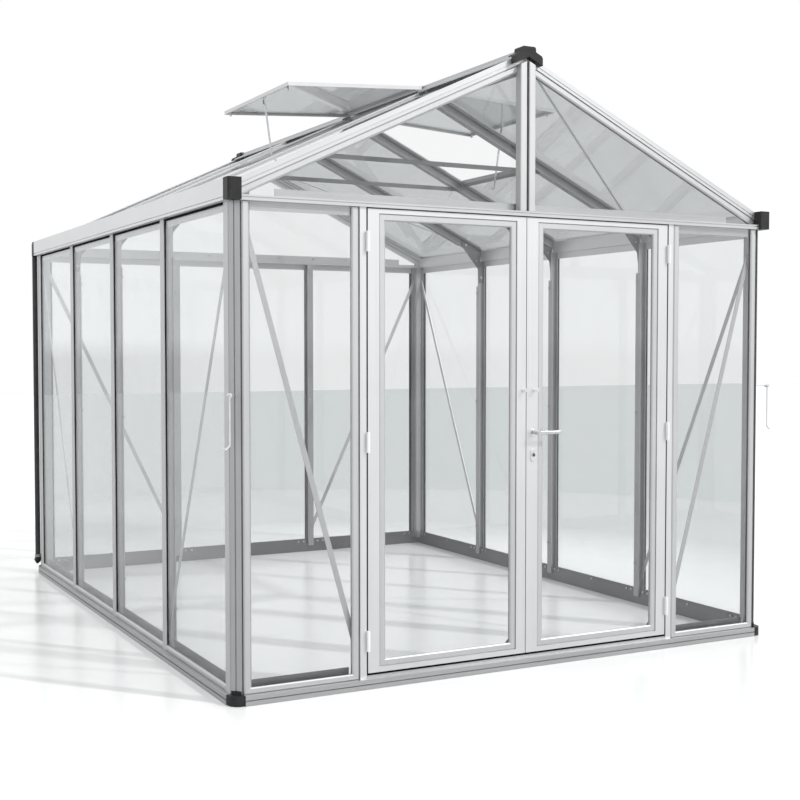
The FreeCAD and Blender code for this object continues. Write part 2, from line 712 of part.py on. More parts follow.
def ridge_caps():
    """Black saddle caps: a deep front that hangs over both rafters, and a hood over the ridge."""
    skirt = 63.0
    shoulder = 32.0
    half = 30.0
    top = RIDGE_TOP + 8
    low = 2323.0
    gap = 0.4
    wing_inner = slope_z(HALF_W - CROWN_HALF) + WING_RISE + gap
    wing_outer = slope_z(HALF_W - RIDGE_WING) + WING_RISE + gap
    crown = CROWN_HALF + gap
    right_top = [(half - 5, top), (half - 1, top - 2), (half + 1, top - 6), (shoulder, 2372), (58, 2359)]
    right_skirt = [(60, 2356), (skirt, 2351), (skirt, low)]
    right_inside = [(RIDGE_WING, wing_outer), (crown, wing_inner), (crown, RIDGE_TOP + gap)]

    def saddle(right, middle):
        left = [(-x, z) for x, z in reversed(right)]
        return right + middle + left

    front = section_along_y(saddle(right_top + right_skirt, [(0, low + TAN * skirt)]),
                            -HALF_L + RIDGE_CAP_FACE, -HALF_L + GABLE_FACE - 0.5)
    hood = section_along_y(saddle(right_top + right_inside, []),
                           -HALF_L + GABLE_FACE - 0.5, -HALF_L + GABLE_FACE + RAFTER_DEPTH)
    cap = joined([front, hood])
    return [cap, cap.mirror(ORIGIN, V(0, 1, 0))]


def vent_hinge_rod():
    """Left hinge rod along the vent bay, carried by lugs on the ridge."""
    y0 = VENT_BAY[0] + 10
    y1 = VENT_BAY[1] - 10
    bar = rod(V(-VENT_AXIS_X, y0, VENT_AXIS_Z), V(-VENT_AXIS_X, y1, VENT_AXIS_Z), 4)
    lugs = [box(-VENT_AXIS_X, -18.2, y, y + 20, VENT_AXIS_Z - 4, VENT_AXIS_Z + 3)
            for y in lug_places()]
    return joined([bar] + lugs)


def lug_places():
    y0 = VENT_BAY[0] + 10
    y1 = VENT_BAY[1] - 30
    return [y0, (y0 + y1) / 2, y1]


# ---- roof -------------------------------------------------------------------------
def trim_roof(shape):
    """Keep only what lies between the gutter and the ridge stem on the left slope."""
    keep = box(-HALF_W + GUTTER_IN + 0.5, -STEM_HALF - 0.5, -HALF_L, HALF_L, 1600, 2600)
    return shape.common(keep)


def roof_bar(y):
    """Roof bar with web, glass seats and lower flange."""
    reach = 1400.0
    web = box(-60, reach, y - BAR_WEB, y + BAR_WEB, -ROOF_BAR_DEPTH, -CAP_THICK)
    seat = box(-60, reach, y - BAR_SEAT, y + BAR_SEAT, -ROOF_GLASS_IN - SEAT, -ROOF_GLASS_IN)
    flange = box(up_slope(KNEE_REACH, ROOF_BAR_DEPTH), reach, y - BAR_FLANGE, y + BAR_FLANGE,
                 -ROOF_BAR_DEPTH, -ROOF_BAR_DEPTH + 4)
    return trim_roof(on_slope(joined([web, seat, flange])))


def roof_cap(y):
    """Flat outer cap of a roof bar; it stops short of the ridge wings."""
    top = up_slope(HALF_W - 59)
    left = y - CAP_HALF
    right = y + CAP_HALF
    return on_slope(section_along_x([(left, -CAP_THICK), (left, -2), (left + 2, -0.2),
                                     (right - 2, -0.2), (right, -2), (right, -CAP_THICK)], 4, top))


def roof_gaskets(y):
    top = up_slope(HALF_W - 59)
    return [on_slope(box(4, top, y + a, y + b, -ROOF_GLASS_TOP, -CAP_THICK))
            for a, b in ((-CAP_HALF + 1, -6), (6, CAP_HALF - 1))]


def roof_glass():
    """Four panes of the left slope; the vent bay pane stops at the vent sill."""
    edges = [-HALF_L + GABLE_FACE + RAFTER_DEPTH + 2] + list(SIDE_BARS)
    ends = list(SIDE_BARS) + [HALF_L - GABLE_FACE - RAFTER_DEPTH - 2]
    low = up_slope(20, ROOF_GLASS_TOP)
    panes = []
    for k, (a, b) in enumerate(zip(edges, ends)):
        start = a if k == 0 else a + BAR_WEB + 2
        stop = b if k == len(ends) - 1 else b - BAR_WEB - 2
        top = up_slope(HALF_W - STEM_HALF - 3, ROOF_GLASS_IN)
        if a == VENT_BAY[0]:
            top = up_slope(SILL_OUT, ROOF_GLASS_IN) - 1
        panes.append(on_slope(box(low, top, start, stop, -ROOF_GLASS_IN, -ROOF_GLASS_TOP)))
    return panes


def vent_sill():
    """Cross bar below the vent, with a cover lip over the pane and the stay pin."""
    y0 = VENT_BAY[0] + BAR_WEB + 0.5
    y1 = VENT_BAY[1] - BAR_WEB - 0.5
    s0 = up_slope(SILL_OUT)
    s1 = up_slope(SILL_IN)
    mid = sum(VENT_BAY) / 2
    beam = box(s0, s1, y0 + 20, y1 - 20, -24, -1)
    ends = box(s0, s1, y0, y1, -11.5, -8.2)
    lip = box(s0 - 20, s0, y0 + 20, y1 - 20, -7.5, -4)
    pin = rod(V(s1, mid, -12), V(s1 + 2.5, mid, -12), 3)
    cavity = box(s0 + 3, s1 - 3, y0 + 19, y1 - 19, -21.5, -12)
    return on_slope(joined([beam.cut(cavity), ends, lip, pin]))


def knee_side(y):
    """Where a knee plate starts along Y: against the face of the web that looks to the middle."""
    return y - BAR_WEB - 0.1 - KNEE_THICK if y > 0 else y + BAR_WEB + 0.1


def knee_bracket(y):
    """Plate that ties a wall bar to its roof bar, with two bolt holes."""
    line = [(34, 1620), (56, 1620), (66, 1700), (KNEE_REACH - 12, slope_z(KNEE_REACH - 12, 46)),
            (KNEE_REACH - 12, slope_z(KNEE_REACH - 12, 18)), (60, slope_z(60, 18)),
            (50, slope_z(50, 24)), (50, 1742), (34, 1742)]
    y0 = knee_side(y)
    plate = section_along_y([(x - HALF_W, z) for x, z in line], y0, y0 + KNEE_THICK)
    for x, z in ((45, 1650), (150, slope_z(150, 32)), (75, 1748)):
        hole = rod(V(x - HALF_W, y0 - 1, z), V(x - HALF_W, y0 + 5, z), 4)
        plate = plate.cut(hole)
    return plate


def tie_bar(y):
    """Collar tie between the left and right roof bars, ends cut to the slope."""
    top = slope_z(TIE_INSET, ROOF_BAR_DEPTH + 0.3)
    low_inset = TIE_INSET - TIE_H / TAN
    high = HALF_W - TIE_INSET
    low = HALF_W - low_inset
    line = [(-high, top), (high, top), (low, top - TIE_H), (-low, top - TIE_H)]
    return section_along_y(line, y - 2, y + 2)


def brace(wall, side, start, end):
    """Flat wall brace between two upright faces; start is high, end is low."""
    half_h = 10 / math.sin(math.atan2(abs(end[0] - start[0]), abs(end[1] - start[1])))
    line = [(start[0], start[1] + half_h), (start[0], start[1] - half_h),
            (end[0], end[1] - half_h), (end[0], end[1] + half_h)]
    plate = face_of([V(side * u, BRACE_V, z) for u, z in line]).extrude(V(0, BRACE_THICK, 0))
    return on_wall(plate, wall)


def wall_braces():
    """Braces in the end bays of every wall."""
    braces = []
    for wall, bar in (("left", SIDE_BAY), ("right", SIDE_BAY), ("rear", REAR_BAR)):
        start = (half_of(wall) - POST_BOX - 0.5, BRACE_TOP)
        end = (bar + BAR_WEB + 0.5, BRACE_FOOT)
        braces.extend(brace(wall, side, start, end) for side in (-1, 1))
    start = (HALF_W - POST_BOX - 0.5, BRACE_TOP)
    end = (DOOR_POST_OUT + 0.5, BRACE_FOOT)
    braces.extend(brace("front", side, start, end) for side in (-1, 1))
    return braces


def roof_braces():
    """Thin diagonal bars under the glass in the end bays of the left slope."""
    ridge_s = up_slope(HALF_W - STEM_HALF - 4, 20)
    eave_s = up_slope(GUTTER_IN + 50, 20)
    gable = HALF_L - GABLE_FACE - RAFTER_DEPTH - 4
    bar = SIDE_BAY + BAR_WEB + 0.5
    bars = []
    for side in (-1, 1):
        line = [(ridge_s, side * gable), (ridge_s - 22, side * gable),
                (eave_s, side * bar), (eave_s + 22, side * bar)]
        face = face_of([V(s, y, -21) for s, y in line])
        bars.append(on_slope(face.extrude(V(0, 0, 3))))
    return bars


# ---- rainwater -----------------------------------------------------------------------
def pipe_rod(z0, z1, radius):
    return rod(V(PIPE_X, PIPE_Y, z0), V(PIPE_X, PIPE_Y, z1), radius)


def downpipe():
    """Round downpipe at the rear left corner, from the shoe up to the outlet box."""
    return pipe_rod(PIPE_FOOT, WALL_TOP - 0.5, PIPE_R).cut(pipe_rod(0, WALL_TOP, PIPE_R - PIPE_WALL))


def downpipe_shoe():
    """Short elbow at the foot of the downpipe that throws the water outwards."""
    knee = V(PIPE_X, PIPE_Y, PIPE_FOOT - 2)
    mouth = knee + V(-14, 0, -8)
    outside = joined([pipe_rod(knee.z, SHOE_TOP, PIPE_R + 3), Part.makeSphere(PIPE_R + 2, knee),
                      rod(knee, mouth, PIPE_R + 2)])
    shoe = outside.cut(pipe_rod(PIPE_FOOT, SHOE_TOP + 1, PIPE_R + 0.1))
    water = PIPE_R - PIPE_WALL
    shoe = shoe.cut(pipe_rod(knee.z, PIPE_FOOT + 1, water))
    return shoe.cut(rod(knee, mouth + (mouth - knee), water)).cut(Part.makeSphere(water, knee))


def downpipe_clip():
    """Grey clip that holds the foot of the pipe to the rear corner cap."""
    z0, z1 = CLIP_Z
    ring = pipe_rod(z0, z1, PIPE_R + 3).cut(pipe_rod(z0, z1, PIPE_R + 0.1))
    foot = box(PIPE_X + PIPE_R + 1, PIPE_X + PIPE_R + 32, HALF_L - FACE + 0.2, PIPE_Y + 3, z0, z1)
    return joined([ring, foot])


def hopper():
    """Black outlet box on the rear left gutter cap, with a spigot that enters the pipe."""
    half = PIPE_R - 0.5
    top = GUTTER_TOP - 7
    block = box(PIPE_X - half, PIPE_X + half, HALF_L - GUTTER_CAP_OUT + 0.3, HALF_L + 31, WALL_TOP, top)
    spigot = pipe_rod(WALL_TOP - 30, WALL_TOP + 1, PIPE_R - PIPE_WALL - 0.1)
    return joined([block, spigot]).cut(pipe_rod(WALL_TOP - 31, top - 15, PIPE_R - PIPE_WALL - 3))


# ---- doors -----------------------------------------------------------------------------
def leaf_area(side):
    """Outer rectangle of a leaf, side -1 left and +1 right."""
    if side < 0:
        return (-LEAF_OUT, -LEFT_LEAF_IN, LEAF_BOTTOM, LEAF_TOP)
    return (-RIGHT_LEAF_IN, LEAF_OUT, LEAF_BOTTOM, LEAF_TOP)


def leaf_opening(side):
    u0, u1, z0, z1 = leaf_area(side)
    z0 += BOTTOM_RAIL_W
    z1 -= TOP_RAIL_W
    if side < 0:
        return (u0 + STILE_W, u1 - LEFT_MEETING_W, z0, z1)
    return (u0 + RIGHT_MEETING_W, u1 - STILE_W, z0, z1)


def lock_rod(v0, v1, z, radius):
    """Round bar square to the front wall on the lock's centre line."""
    return rod(V(LOCK_U, v0, z), V(LOCK_U, v1, z), radius)


def lock_holes():
    """Openings that the lever, cylinder and latch need in the right meeting stile."""
    return [lock_rod(0, 80, LEVER_Z, PLUG_R), lock_rod(0, 80, CYLINDER_Z, CYLINDER_R + 2),
            box(-10, 8, 24.5, 39.5, LATCH_Z - 11, LATCH_Z + 11)]


def leaf_frame(side):
    """Four hollow mitred members with a flange behind the glass."""
    area = leaf_area(side)
    opening = leaf_opening(side)
    sight = inset_rect(opening, 25)
    v1 = FACE + LEAF_THICK
    wall = LEAF_WALL
    members = []
    outer_quads = ring_quads(area, opening)
    hollow_quads = ring_quads(inset_rect(area, wall), inset_rect(opening, -wall))
    flange_quads = ring_quads(opening, sight)
    for (outer, inner), (h_out, h_in), (f_out, f_in) in zip(outer_quads, hollow_quads, flange_quads):
        body = member(outer, inner, FACE, v1)
        body = body.cut(member(h_out, h_in, FACE + wall, v1 - wall))
        flange = member(f_out, f_in, FACE + 14, FACE + 17)
        members.append(joined([body, flange]))
    if side > 0:
        for hole in lock_holes():
            members = [m.cut(hole) for m in members]
    if side < 0:
        shaft = rod(V(-SHOOT_U, SHOOT_V, 0), V(-SHOOT_U, SHOOT_V, LEAF_TOP + 1), SHOOT_R + 0.1)
        members = [m.cut(shaft) for m in members]
    return [on_wall(m, "front") for m in members]


def leaf_beads(side):
    opening = leaf_opening(side)
    outer = inset_rect(opening, 0.2)
    beads = []
    for o, i in ring_quads(outer, inset_rect(opening, LEAF_BEAD_W)):
        beads.append(on_wall(bead_strip(o, i, FACE + 2, FACE + 10), "front"))
    return beads


def leaf_glass(side):
    u0, u1, z0, z1 = inset_rect(leaf_opening(side), 3)
    return [on_wall(box(u0, u1, FACE + 10, FACE + 14, z0, z1), "front")]


def leaf_gussets(side):
    """Triangular stiffeners on the inside of the four corners."""
    u0, u1, z0, z1 = inset_rect(leaf_area(side), 8)
    leg = 95.0
    v = FACE + LEAF_THICK + 0.1
    plates = []
    for u, du in ((u0, 1), (u1, -1)):
        for z, dz in ((z0, 1), (z1, -1)):
            line = [(u, z), (u + du * leg, z), (u, z + dz * leg)]
            plates.append(on_wall(face_of([V(a, v, b) for a, b in line]).extrude(V(0, 2.5, 0)), "front"))
    return plates


def hinge_parts(side):
    """Hinge halves of one leaf: knuckles stand in front of the seam and the plates hide inside it."""
    fixed = []
    moving = []
    third = HINGE_LENGTH / 3
    back = FACE + 24
    clear = KNUCKLE_R + 0.6

    def upright(low, high, radius):
        axis_u = side * HINGE_AXIS_W
        return rod(V(axis_u, HINGE_AXIS_V, low), V(axis_u, HINGE_AXIS_V, high), radius)

    for centre in HINGE_HEIGHTS:
        foot = centre - HINGE_LENGTH / 2
        low = foot + third
        high = low + third
        head = high + third
        post_plate = side_box(side, HINGE_AXIS_W + 0.3, DOOR_POST_IN - 0.1, HINGE_AXIS_V, back, foot, head)
        half = joined([upright(foot + 2, head - 2, HINGE_PIN_R), upright(foot, low - 0.5, KNUCKLE_R),
                       upright(high + 0.5, head, KNUCKLE_R),
                       post_plate.cut(upright(low - 0.4, high + 0.4, clear))])
        fixed.append(on_wall(half, "front"))
        leaf_plate = side_box(side, LEAF_OUT + 0.1, HINGE_AXIS_W - 0.3, HINGE_AXIS_V, back, foot, head)
        half = joined([leaf_plate, upright(low, high, KNUCKLE_R)])
        half = half.cut(upright(foot, head, HINGE_PIN_R + 0.06))
        half = half.cut(upright(foot - 1, low, clear)).cut(upright(high, head + 1, clear))
        moving.append(on_wall(half, "front"))
    return fixed, moving


def side_box(side, a, b, v0, v1, z0, z1):
    lo, hi = sorted((side * a, side * b))
    return box(lo, hi, v0, v1, z0, z1)


def door_peg(u):
    """Turned peg on a meeting stile."""
    stem = rod(V(u, FACE - 18, PEG_Z), V(u, FACE - 0.1, PEG_Z), 4)
    base = rod(V(u, FACE - 4, PEG_Z), V(u, FACE - 0.1, PEG_Z), 8)
    head = rod(V(u, FACE - 24, PEG_Z), V(u, FACE - 18, PEG_Z), 7)
    return on_wall(joined([stem, base, head]), "front")


def lock_case():
    case = box(3, 47, 21, 43, 790, 960)
    for hole in (lock_rod(0, 80, LEVER_Z, PLUG_R), lock_rod(0, 80, CYLINDER_Z, CYLINDER_R + 2),
                 box(-10, 30, 24.5, 39.5, LATCH_Z - 11, LATCH_Z + 11)):
        case = case.cut(hole)
    return on_wall(case, "front")


def lock_plates():
    """Round rose behind each lever and oval plates around the cylinder."""
    plates = []
    back = FACE + LEAF_THICK
    for v0, v1 in ((FACE - 5, FACE - 0.1), (back + 0.1, back + 5)):
        rose = lock_rod(v0, v1, LEVER_Z, 14).cut(lock_rod(v0, v1, LEVER_Z, 8.5))
        plates.append(on_wall(rose, "front"))
        oval = joined([lock_rod(v0 + 1, v1, CYLINDER_Z + 12, 12), lock_rod(v0 + 1, v1, CYLINDER_Z - 12, 12),
                       box(LOCK_U - 12, LOCK_U + 12, v0 + 1, v1, CYLINDER_Z - 12, CYLINDER_Z + 12)])
        plates.append(on_wall(oval.cut(lock_rod(0, 80, CYLINDER_Z, CYLINDER_R + 0.5)), "front"))
    return plates


def lock_cylinder():
    """Round cylinder body with a bore for the turning plug."""
    v0 = FACE - 6
    v1 = FACE + LEAF_THICK + 6
    body = lock_rod(v0, v1, CYLINDER_Z, CYLINDER_R)
    return on_wall(body.cut(lock_rod(v0, v1, CYLINDER_Z, PLUG_R + 0.05)), "front")


def cylinder_plug():
    plug = lock_rod(FACE - 7, FACE + LEAF_THICK + 7, CYLINDER_Z, PLUG_R)
    for v in (FACE - 8, FACE + LEAF_THICK + 3):
        plug = plug.cut(box(LOCK_U - 1, LOCK_U + 1, v, v + 5, CYLINDER_Z - 5, CYLINDER_Z + 5))
    return on_wall(plug, "front")


def lever_handle():
    """Outside and inside levers on one square spindle."""
    back = FACE + LEAF_THICK
    spindle = box(LOCK_U - 4, LOCK_U + 4, FACE - 20, back + 20, LEVER_Z - 4, LEVER_Z + 4)
    pieces = [spindle]
    for root, tip in ((FACE - 7, FACE - LEVER_STAND), (back + 7, back + LEVER_STAND)):
        lo, hi = sorted((root, tip))
        pieces.append(lock_rod(lo, hi, LEVER_Z, 8))
        grip_lo, grip_hi = sorted((tip, tip + (10 if tip < root else -10)))
        grip = box(LOCK_U - 9, LOCK_U + LEVER_REACH, grip_lo, grip_hi,
                   LEVER_Z - LEVER_HALF, LEVER_Z + LEVER_HALF)
        pieces.append(grip.makeFillet(3.0, grip.Edges))
    return on_wall(joined(pieces), "front")


def latch_bolt():
    """Latch shown level with the door edge; it draws back when the lever is pressed."""
    body = box(-1.5, 17, 26, 38, LATCH_Z - 9.5, LATCH_Z + 9.5)
    return on_wall(body, "front")


def shoot_bolt(low):
    """Round bolt inside the passive meeting stile, drawn back clear of the sill or the header."""
    z0, z1 = (LEAF_BOTTOM - 1.8, 260.0) if low else (1560.0, LEAF_TOP + 1.8)
    bolt = rod(V(-SHOOT_U, SHOOT_V, z0), V(-SHOOT_U, SHOOT_V, z1), SHOOT_R)
    return on_wall(bolt, "front")


def strike_plate():
    """Keep on the edge of the passive leaf."""
    plate = box(-LEFT_LEAF_IN + 0.1, -LEFT_LEAF_IN + 1.1, 22, 42, LATCH_Z - 50, LATCH_Z + 50)
    return on_wall(plate, "front")


# ---- cabin hooks -------------------------------------------------------------------------
def hook_eye():
    """Front left screw eye: slanted stem and a short pin along Y, drawn at the corner."""
    stem = rod(V(32, 32, HOOK_Z), V(0.5, 9, HOOK_Z), 2.6)
    pin = rod(V(0, -10, HOOK_Z), V(0, 12, HOOK_Z), 3)
    head = rod(V(0, -13, HOOK_Z), V(0, -10, HOOK_Z), 5)
    collar = rod(V(0, 5, HOOK_Z), V(0, 12, HOOK_Z), 4.5)
    return joined([stem, pin, head, collar])


def cabin_hook():
    """Wire hook that hangs from the eye, bent outwards at its tip."""
    wire = HOOK_WIRE_R
    y = -2.5
    foot = V(0, y, HOOK_Z - HOOK_LENGTH)
    toe = foot + V(-14, 0, -14)
    ring = tube(V(0, -6, HOOK_Z), V(0, 1, HOOK_Z), 8, wire + 0.06)
    shank = rod(V(0, y, HOOK_Z - 6), foot, wire)
    shank = shank.cut(rod(V(0, -20, HOOK_Z), V(0, 20, HOOK_Z), wire + 0.5))
    return joined([ring, shank, rod(foot, toe, wire), rod(toe, toe + V(-10, 0, 6), wire),
                   Part.makeSphere(wire, foot), Part.makeSphere(wire, toe)])


def front_corner_pair(shape):
    placed = shape.copy()
    placed.translate(V(-HALF_W, -HALF_L, 0))
    return placed


# ---- vents -------------------------------------------------------------------------------
def on_vent(shape):
    """Carry a shape drawn flat about the hinge axis (x negative outwards) to the open left vent."""
    placed = shape.copy()
    placed.rotate(ORIGIN, V(0, 1, 0), -math.degrees(VENT_REST))
    placed.translate(V(-VENT_AXIS_X, 0, VENT_AXIS_Z))
    return placed


def flat_ring(outer, inner, z0, z1):
    """Mitred members lying flat: rectangles are (x0, x1, y0, y1)."""
    pieces = []
    for o, i in ring_quads(outer, inner):
        line = [o[0], o[1], i[1], i[0]]
        pieces.append(section_up(line, z0, z1))
    return pieces


def vent_frame():
    """Four mitred L-shaped members and three hinge barrels on the upper one."""
    area = (-VENT_LENGTH, -10.0, VENT_Y[0], VENT_Y[1])
    skins = flat_ring(area, inset_rect(area, 34), VENT_SKIN[0], VENT_SKIN[1])
    edges = flat_ring(area, inset_rect(area, 4), VENT_EDGE[0], VENT_EDGE[1])
    members = [joined([skin, edge]) for skin, edge in zip(skins, edges)]
    top = 1
    places = lug_places()
    barrels = []
    for start, stop in zip(places[:-1], places[1:]):
        y0 = start + 21
        y1 = stop - 1
        barrel = rod(V(0, y0, 0), V(0, y1, 0), 7)
        arm = box(-16, 0, y0, y1, -6, 0)
        barrels.append(joined([barrel, arm]).cut(rod(V(0, y0 - 1, 0), V(0, y1 + 1, 0), 4.06)))
    members[top] = joined([members[top]] + barrels)
    return [on_vent(m) for m in members]


def vent_glass():
    area = inset_rect((-VENT_LENGTH, -10.0, VENT_Y[0], VENT_Y[1]), 5)
    return on_vent(box(area[0], area[1], area[2], area[3], VENT_SKIN[0] - GLASS - 0.1, VENT_SKIN[0] - 0.1))


def vent_stay_lug():
    """Lug with a cross pin under the outer rail, and two corner pegs."""
    mid = sum(VENT_BAY) / 2
    x, z = STAY_PIVOT
    pieces = []
    for y in (mid - 9, mid + 5):
        pieces.append(box(x - 6, x + 6, y, y + 4, z - 6, -10.3))
    pin = rod(V(x, mid - 9, z), V(x, mid + 9, z), 2.5)
    bridge = box(x - 6, x + 6, mid - 9, mid + 9, -13, -10.3)
    lug = joined(pieces + [pin, bridge])
    pegs = [rod(V(-VENT_LENGTH + 14, y, -30), V(-VENT_LENGTH + 14, y, -10.3), 5)
            for y in (VENT_Y[0] + 40, VENT_Y[1] - 40)]
    return [on_vent(s) for s in [lug] + pegs]


def stay_origin():
    """World position of the left stay pivot."""
    x, z = STAY_PIVOT
    c = math.cos(VENT_REST)
    s = math.sin(VENT_REST)
    return V(-VENT_AXIS_X + x * c - z * s, 0, VENT_AXIS_Z + x * s + z * c)


def vent_stay():
    """Hanging stay bar with peg holes, ending in a hooked grip."""
    mid = sum(VENT_BAY) / 2
    bar = box(-1.5, 1.5, mid - 4, mid + 4, -STAY_LENGTH, 0)
    eye = rod(V(0, mid - 4, 0), V(0, mid + 4, 0), 5)
    wide = box(-1.5, 1.5, mid - 7, mid + 7, -STAY_LENGTH + 30, -14)
    body = joined([bar, eye, wide])
    for drop in STAY_HOLES:
        body = body.cut(rod(V(-5, mid, -drop), V(5, mid, -drop), 3.6))
    body = body.cut(rod(V(0, mid - 9, 0), V(0, mid + 9, 0), 2.56))
    heel = V(0, mid, -STAY_LENGTH + 2)
    toe = heel + V(10, 0, -11)
    tip = toe + V(7, 0, 6)
    stay = joined([body, rod(heel, toe, 3.5), rod(toe, tip, 3.5), Part.makeSphere(3.5, toe)])
    stay.rotate(ORIGIN, V(0, 1, 0), -math.degrees(STAY_TILT))
    stay.translate(stay_origin())
    return stay


# ---- bolts ---------------------------------------------------------------------------------
def frame_bolts():
    """Bolt heads inside the frame: along the base flange, on the bars and on the header."""
    bolts = []
    for wall in ("front", "right", "rear", "left"):
        for start, end in wall_spans(wall):
            for u in (start + 25, start + 60, (start + end) / 2, end - 60, end - 25):
                head = rod(V(u, RAIL_DEPTH + 0.1, 62), V(u, RAIL_DEPTH + 5, 62), 6)
                bolts.append(on_wall(head, wall))
    for wall, bars in (("left", SIDE_BARS), ("right", SIDE_BARS), ("rear", REAR_BARS)):
        for u in bars:
            for z in (200.0, 930.0, 1560.0):
                head = rod(V(u + 10, BAR_DEPTH + 0.1, z), V(u + 10, BAR_DEPTH + 6, z), 5)
                bolts.append(on_wall(head, wall))
    for wall in ("front", "rear"):
        for k in range(-4, 5):
            u = k * 220.0
            z = (HEADER_TOP + HEADER_FLANGE_TOP) / 2
            head = rod(V(u, HEADER_DEPTH + 0.1, z), V(u, HEADER_DEPTH + 5, z), 5)
            if k != 0:
                bolts.append(on_wall(head, wall))
    return bolts


def bracket_bolts():
    """Bolts through the knee brackets and under the tie bar ends."""
    bolts = []
    for y in SIDE_BARS:
        for x, z in ((45, 1650), (150, slope_z(150, 32))):
            face = knee_side(y) + (0 if y > 0 else KNEE_THICK)
            out = -1 if y > 0 else 1
            shank = rod(V(x - HALF_W, face - out * KNEE_THICK, z), V(x - HALF_W, face + out * 2, z), 3.9)
            head = rod(V(x - HALF_W, face + out * 0.1, z), V(x - HALF_W, face + out * 5, z), 7)
            bolts.extend(both_sides(joined([shank, head])))
    return bolts


# ---- build -----------------------------------------------------------------------------------
def build_walls():
    write("base_rails", [base_rail(w) for w in WALLS])
    write("corner_feet", at_corners(corner_foot()))
    write("corner_posts", at_corners(corner_post()))
    write("door_posts", [on_wall(p, "front") for p in both_sides(door_post())])
    write("door_sill", [door_sill()])
    write("wall_glass", [pane for w in WALLS for pane in wall_glass(w)])
    bars = []
    caps = []
    gaskets = []
    beads = pane_beads()
    for wall, places in BARRED:
        flange_top = WALL_TOP if wall == "rear" else SIDE_FLANGE_TOP
        caps += corner_caps(wall)
        gaskets += corner_gaskets(wall)
        beads += bottom_beads(wall)
        for u in places:
            bars.append(on_wall(wall_bar(u, flange_top), wall))
            caps.append(on_wall(wall_cap(u, CAP_HALF, CAP_BOTTOM, CAP_TOP), wall))
            gaskets += [on_wall(s, wall) for s in wall_gasket(u, CAP_BOTTOM, CAP_TOP)]
    write("wall_bars", bars)
    for y in SIDE_BARS:
        caps += both_sides(roof_cap(y))
        gaskets += [s for g in roof_gaskets(y) for s in both_sides(g)]
    beads += [b for w in GABLES for b in gable_beads(w)]
    braces = wall_braces() + [s for b in roof_braces() for s in both_sides(b)]
    gaskets += [s for w in ("left", "right") for s in eaves_seals(w)] + door_seals()
    write("glazing_caps", caps)
    write("glazing_gaskets", gaskets)
    write("glazing_beads", beads)
    write("braces", braces)
    write("frame_bolts", frame_bolts() + bracket_bolts())


def build_eaves_and_gables():
    write("gutters", [gutter(w) for w in ("left", "right")])
    write("end_caps", gutter_caps() + ridge_caps())
    write("headers", [header(w) for w in GABLES])
    write("gable_rafters", [r for w in GABLES for r in both_sides(gable_rafter(w))])
    write("gable_posts", [gable_post(w) for w in GABLES])
    write("gable_glass", [p for w in GABLES for p in gable_glass(w)])
    write("downpipe", [downpipe()])
    write("downpipe_ends", [downpipe_shoe(), hopper()])
    write("downpipe_clip", [downpipe_clip()])


def build_roof():
    write("ridge_beam", [ridge_beam()])
    write("vent_hinge_rods", both_sides(vent_hinge_rod()))
    write("roof_bars", [s for y in SIDE_BARS for s in both_sides(roof_bar(y))])
    write("roof_glass", [s for p in roof_glass() for s in both_sides(p)])
    write("vent_sills", both_sides(vent_sill()))
    write("knee_brackets", [s for y in SIDE_BARS for s in both_sides(knee_bracket(y))])
    write("tie_bars", [tie_bar(y) for y in VENT_BAY])


def build_doors():
    fixed_halves = []
    for side, name in ((-1, "left"), (1, "right")):
        fixed, moving = hinge_parts(side)
        fixed_halves += fixed
        write("door_frame_" + name, leaf_frame(side))
        write("door_beads_" + name, leaf_beads(side))
        write("door_glass_" + name, leaf_glass(side))
        write("door_gussets_" + name, leaf_gussets(side))
        write("door_hinges_" + name, moving)
    write("post_hinges", fixed_halves)
    write("door_peg_left", [door_peg(LEFT_PEG_U)])
    write("door_peg_right", [door_peg(RIGHT_PEG_U)])
    write("strike_plate", [strike_plate()])
    write("lock_case", [lock_case()])
    write("lock_plates", lock_plates())
    write("lock_cylinder", [lock_cylinder()])
    write("cylinder_plug", [cylinder_plug()])
    write("lever_handle", [lever_handle()])
    write("latch_bolt", [latch_bolt()])
    write("shoot_bolt_top", [shoot_bolt(False)])
    write("shoot_bolt_bottom", [shoot_bolt(True)])


def build_hooks_and_vents():
    hook = front_corner_pair(cabin_hook())
    write("hook_eyes", both_sides(front_corner_pair(hook_eye())))
    write("cabin_hook_left", [hook])
    write("cabin_hook_right", [mirrored(hook)])
    left_vent = (("vent_frame", vent_frame() + vent_stay_lug()), ("vent_glass", [vent_glass()]),
                 ("vent_stay", [vent_stay()]))
    for name, shapes in left_vent:
        write(name + "_left", shapes)
        write(name + "_right", [mirrored(s) for s in shapes])


os.makedirs(OUT_DIR, exist_ok=True)
build_walls()
build_eaves_and_gables()
build_roof()
build_doors()
build_hooks_and_vents()
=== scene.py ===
"""Looks, light and camera for an aluminium and glass greenhouse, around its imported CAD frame."""

import math

import bpy
from mathutils import Euler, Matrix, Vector

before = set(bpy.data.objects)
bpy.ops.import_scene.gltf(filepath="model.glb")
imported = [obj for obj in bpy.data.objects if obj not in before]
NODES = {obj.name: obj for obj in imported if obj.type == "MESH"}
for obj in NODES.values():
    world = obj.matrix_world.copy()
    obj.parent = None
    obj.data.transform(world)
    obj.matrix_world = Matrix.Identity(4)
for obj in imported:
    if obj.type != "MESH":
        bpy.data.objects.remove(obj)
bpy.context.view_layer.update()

# ---- measures, in metres ---------------------------------------------------------------------
EAVES_HEIGHT = 1.78                   # everything above this belongs to the roof and the gables
ROOF_SLOPE = math.radians(25.1)
FLOOR_HALF = 29.0
FLOOR_DROP = 0.0006                   # keeps the floor just under the feet
INSIDE_REACH = 1.8                    # the floor is its near tone up to here from the middle
OUTSIDE_REACH = 2.9                   # and its far tone from here on, seen through a pane
